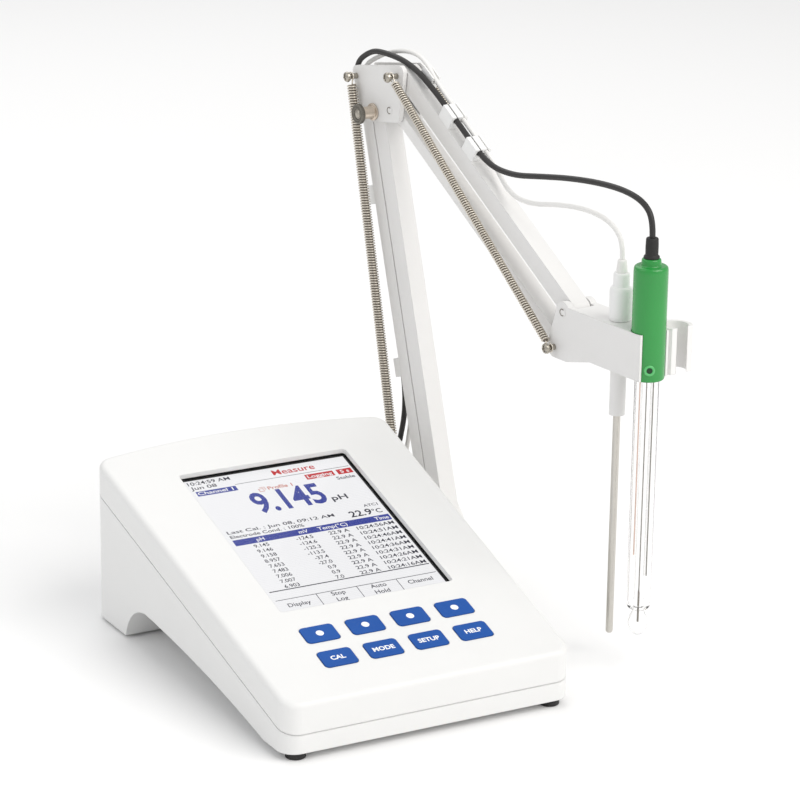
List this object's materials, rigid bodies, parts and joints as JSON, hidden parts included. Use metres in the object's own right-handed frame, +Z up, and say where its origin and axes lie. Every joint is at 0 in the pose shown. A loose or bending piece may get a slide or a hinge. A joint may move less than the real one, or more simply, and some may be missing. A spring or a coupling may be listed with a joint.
{
  "type": "bench pH meter",
  "caption": "Wedge-shaped bench pH meter with a recessed colour display, blue keys and a spring-balanced double-parallelogram arm holding a glass electrode and a temperature probe.",
  "frame": {"origin": "on the table, under the middle of the box round everything but the two leads and their plugs", "axes": "+Z up, -Y towards the user (the low front edge with the keys), +X to the user's right, where the electrode arm stands"},
  "size_m": [0.2404, 0.3218, 0.2776],
  "materials": {
    "top_case": "fine-textured white moulding",
    "bottom_case": "fine-textured white moulding",
    "display_window": "clear hard-coated lens",
    "lcd_frame": "black printed border",
    "lcd_module": "lit liquid-crystal panel",
    "keys": "satin blue key caps",
    "key_mat": "silicone key mat",
    "boards": "green circuit board",
    "rear_panel": "grey panel",
    "sockets": "nickel-plated sockets",
    "ports": "tinned steel shells",
    "switch": "black rocker",
    "rubber_feet": "black rubber",
    "screws": "zinc-plated screws",
    "base_plate": "plain steel plate and pin",
    "arm": "white glass-filled moulding",
    "pins": "nickel-plated pins and screws",
    "knobs": "nickel-plated knob",
    "springs": "drawn spring wire",
    "clips": "white clips",
    "green_cap": "green moulded cap",
    "electrode_glass": "clear glass tube and bulb",
    "core": "inner tube and silver wire",
    "black_rubber": "black moulded relief and plug",
    "white_plastic": "white moulded handle",
    "stem": "stainless steel tube",
    "black_lead": "black cable sheath",
    "white_lead": "white cable sheath"
  },
  "bodies": {
    "meter": {"top_case": "top_case", "bottom_case": "bottom_case", "display_window": "display_window", "lcd_frame": "lcd_frame", "lcd_module": "lcd_module", "key_mat": "key_mat", "key_board": "boards", "main_board": "boards", "rear_panel": "rear_panel", "sensor_sockets": "sockets", "data_ports": "ports", "rubber_feet": "rubber_feet", "case_screws": "screws", "base_plate": "base_plate", "ph_plug": "black_rubber", "temp_plug": "white_plastic", "ph_lead_table": "black_lead", "temp_lead_table": "white_lead"},
    "soft_key_1": {"soft_key_1": "keys"},
    "soft_key_2": {"soft_key_2": "keys"},
    "soft_key_3": {"soft_key_3": "keys"},
    "soft_key_4": {"soft_key_4": "keys"},
    "cal_key": {"cal_key": "keys"},
    "mode_key": {"mode_key": "keys"},
    "setup_key": {"setup_key": "keys"},
    "help_key": {"help_key": "keys"},
    "power_switch": {"power_switch": "switch"},
    "arm_base": {"arm_base": "arm", "base_pins": "pins", "ph_lead_foot": "black_lead", "temp_lead_foot": "white_lead"},
    "rear_bar": {"rear_bar": "arm", "lower_clips": "clips", "lower_springs": "springs", "ph_lead_lower": "black_lead", "temp_lead_lower": "white_lead"},
    "front_bar": {"front_bar": "arm"},
    "knuckle": {"knuckle": "arm", "knuckle_screws": "pins"},
    "knob_left": {"knob_left": "knobs"},
    "knob_right": {"knob_right": "knobs"},
    "top_bar": {"top_bar": "arm", "upper_clips": "clips", "ph_lead_upper": "black_lead", "temp_lead_upper": "white_lead"},
    "under_bar": {"under_bar": "arm", "upper_springs": "springs"},
    "head": {"head": "arm", "head_pins": "pins", "ph_lead_drop": "black_lead", "temp_lead_drop": "white_lead"},
    "electrode": {"ph_cap": "green_cap", "ph_glass": "electrode_glass", "ph_core": "core", "ph_relief": "black_rubber", "ph_lead_probe": "black_lead"},
    "temp_probe": {"temp_handle": "white_plastic", "temp_stem": "stem", "temp_relief": "white_plastic", "temp_lead_probe": "white_lead"}
  },
  "joints": [
    {"name": "soft_key_1_press", "type": "slide", "parent": "meter", "child": "soft_key_1", "axis": [0, 0.2632, -0.9647], "range_m": [0, 0.0008], "stiffness_N_per_m": 300},
    {"name": "soft_key_2_press", "type": "slide", "parent": "meter", "child": "soft_key_2", "axis": [0, 0.2632, -0.9647], "range_m": [0, 0.0008], "stiffness_N_per_m": 300},
    {"name": "soft_key_3_press", "type": "slide", "parent": "meter", "child": "soft_key_3", "axis": [0, 0.2632, -0.9647], "range_m": [0, 0.0008], "stiffness_N_per_m": 300},
    {"name": "soft_key_4_press", "type": "slide", "parent": "meter", "child": "soft_key_4", "axis": [0, 0.2632, -0.9647], "range_m": [0, 0.0008], "stiffness_N_per_m": 300},
    {"name": "cal_key_press", "type": "slide", "parent": "meter", "child": "cal_key", "axis": [0, 0.2632, -0.9647], "range_m": [0, 0.0008], "stiffness_N_per_m": 300},
    {"name": "mode_key_press", "type": "slide", "parent": "meter", "child": "mode_key", "axis": [0, 0.2632, -0.9647], "range_m": [0, 0.0008], "stiffness_N_per_m": 300},
    {"name": "setup_key_press", "type": "slide", "parent": "meter", "child": "setup_key", "axis": [0, 0.2632, -0.9647], "range_m": [0, 0.0008], "stiffness_N_per_m": 300},
    {"name": "help_key_press", "type": "slide", "parent": "meter", "child": "help_key", "axis": [0, 0.2632, -0.9647], "range_m": [0, 0.0008], "stiffness_N_per_m": 300},
    {"name": "switch_rock", "type": "hinge", "parent": "meter", "child": "power_switch", "pos_m": [-0.08943, 0.07201, 0.0505], "axis": [1, 0, 0], "range_deg": [0, 16]},
    {"name": "arm_swivel", "type": "hinge", "parent": "meter", "child": "arm_base", "pos_m": [0.07157, 0.06701, 0.02], "axis": [0, 0, 1], "range_deg": [-10, 90], "deforming": ["ph_lead_table", "temp_lead_table"]},
    {"name": "lower_arm_tilt", "type": "hinge", "parent": "arm_base", "child": "rear_bar", "pos_m": [0.0716, 0.06681, 0.0385], "axis": [0.9914, 0.1305, 0], "range_deg": [0, 38], "deforming": ["lower_springs", "ph_lead_foot", "temp_lead_foot"]},
    {"name": "front_bar_follow", "type": "hinge", "parent": "arm_base", "child": "front_bar", "pos_m": [0.07368, 0.05105, 0.022], "axis": [0.9914, 0.1305, 0], "range_deg": [0, 38]},
    {"name": "knuckle_level", "type": "hinge", "parent": "rear_bar", "child": "knuckle", "pos_m": [0.06349, 0.12838, 0.2585], "axis": [0.9914, 0.1305, 0], "range_deg": [-38, 0], "deforming": ["ph_lead_lower", "temp_lead_lower"]},
    {"name": "knob_left_turn", "type": "hinge", "parent": "knuckle", "child": "knob_left", "pos_m": [0.05774, 0.11158, 0.242], "axis": [-0.9914, -0.1305, 0], "range_deg": [-180, 180]},
    {"name": "knob_right_turn", "type": "hinge", "parent": "knuckle", "child": "knob_right", "pos_m": [0.0734, 0.11364, 0.242], "axis": [0.9914, 0.1305, 0], "range_deg": [-180, 180]},
    {"name": "upper_arm_lift", "type": "hinge", "parent": "knuckle", "child": "top_bar", "pos_m": [0.06825, 0.09229, 0.265], "axis": [-0.9914, -0.1305, 0], "range_deg": [-2, 35], "deforming": ["upper_springs", "ph_lead_upper", "temp_lead_upper"]},
    {"name": "under_bar_follow", "type": "hinge", "parent": "knuckle", "child": "under_bar", "pos_m": [0.06746, 0.09824, 0.2455], "axis": [-0.9914, -0.1305, 0], "range_deg": [-2, 35]},
    {"name": "head_level", "type": "hinge", "parent": "top_bar", "child": "head", "pos_m": [0.08713, -0.05117, 0.1728], "axis": [-0.9914, -0.1305, 0], "range_deg": [-35, 2], "deforming": ["ph_lead_drop", "temp_lead_drop"]},
    {"name": "electrode_lift", "type": "slide", "parent": "head", "child": "electrode", "axis": [0, 0, 1], "range_m": [0, 0.05], "deforming": ["ph_lead_probe"]},
    {"name": "temp_probe_lift", "type": "slide", "parent": "head", "child": "temp_probe", "axis": [0, 0, 1], "range_m": [0, 0.06], "deforming": ["temp_lead_probe"]}
  ],
  "couplings": [
    {"joint": "front_bar_follow", "follows": "lower_arm_tilt", "ratio": 1},
    {"joint": "knuckle_level", "follows": "lower_arm_tilt", "ratio": -1},
    {"joint": "under_bar_follow", "follows": "upper_arm_lift", "ratio": 1},
    {"joint": "head_level", "follows": "upper_arm_lift", "ratio": -1}
  ]
}
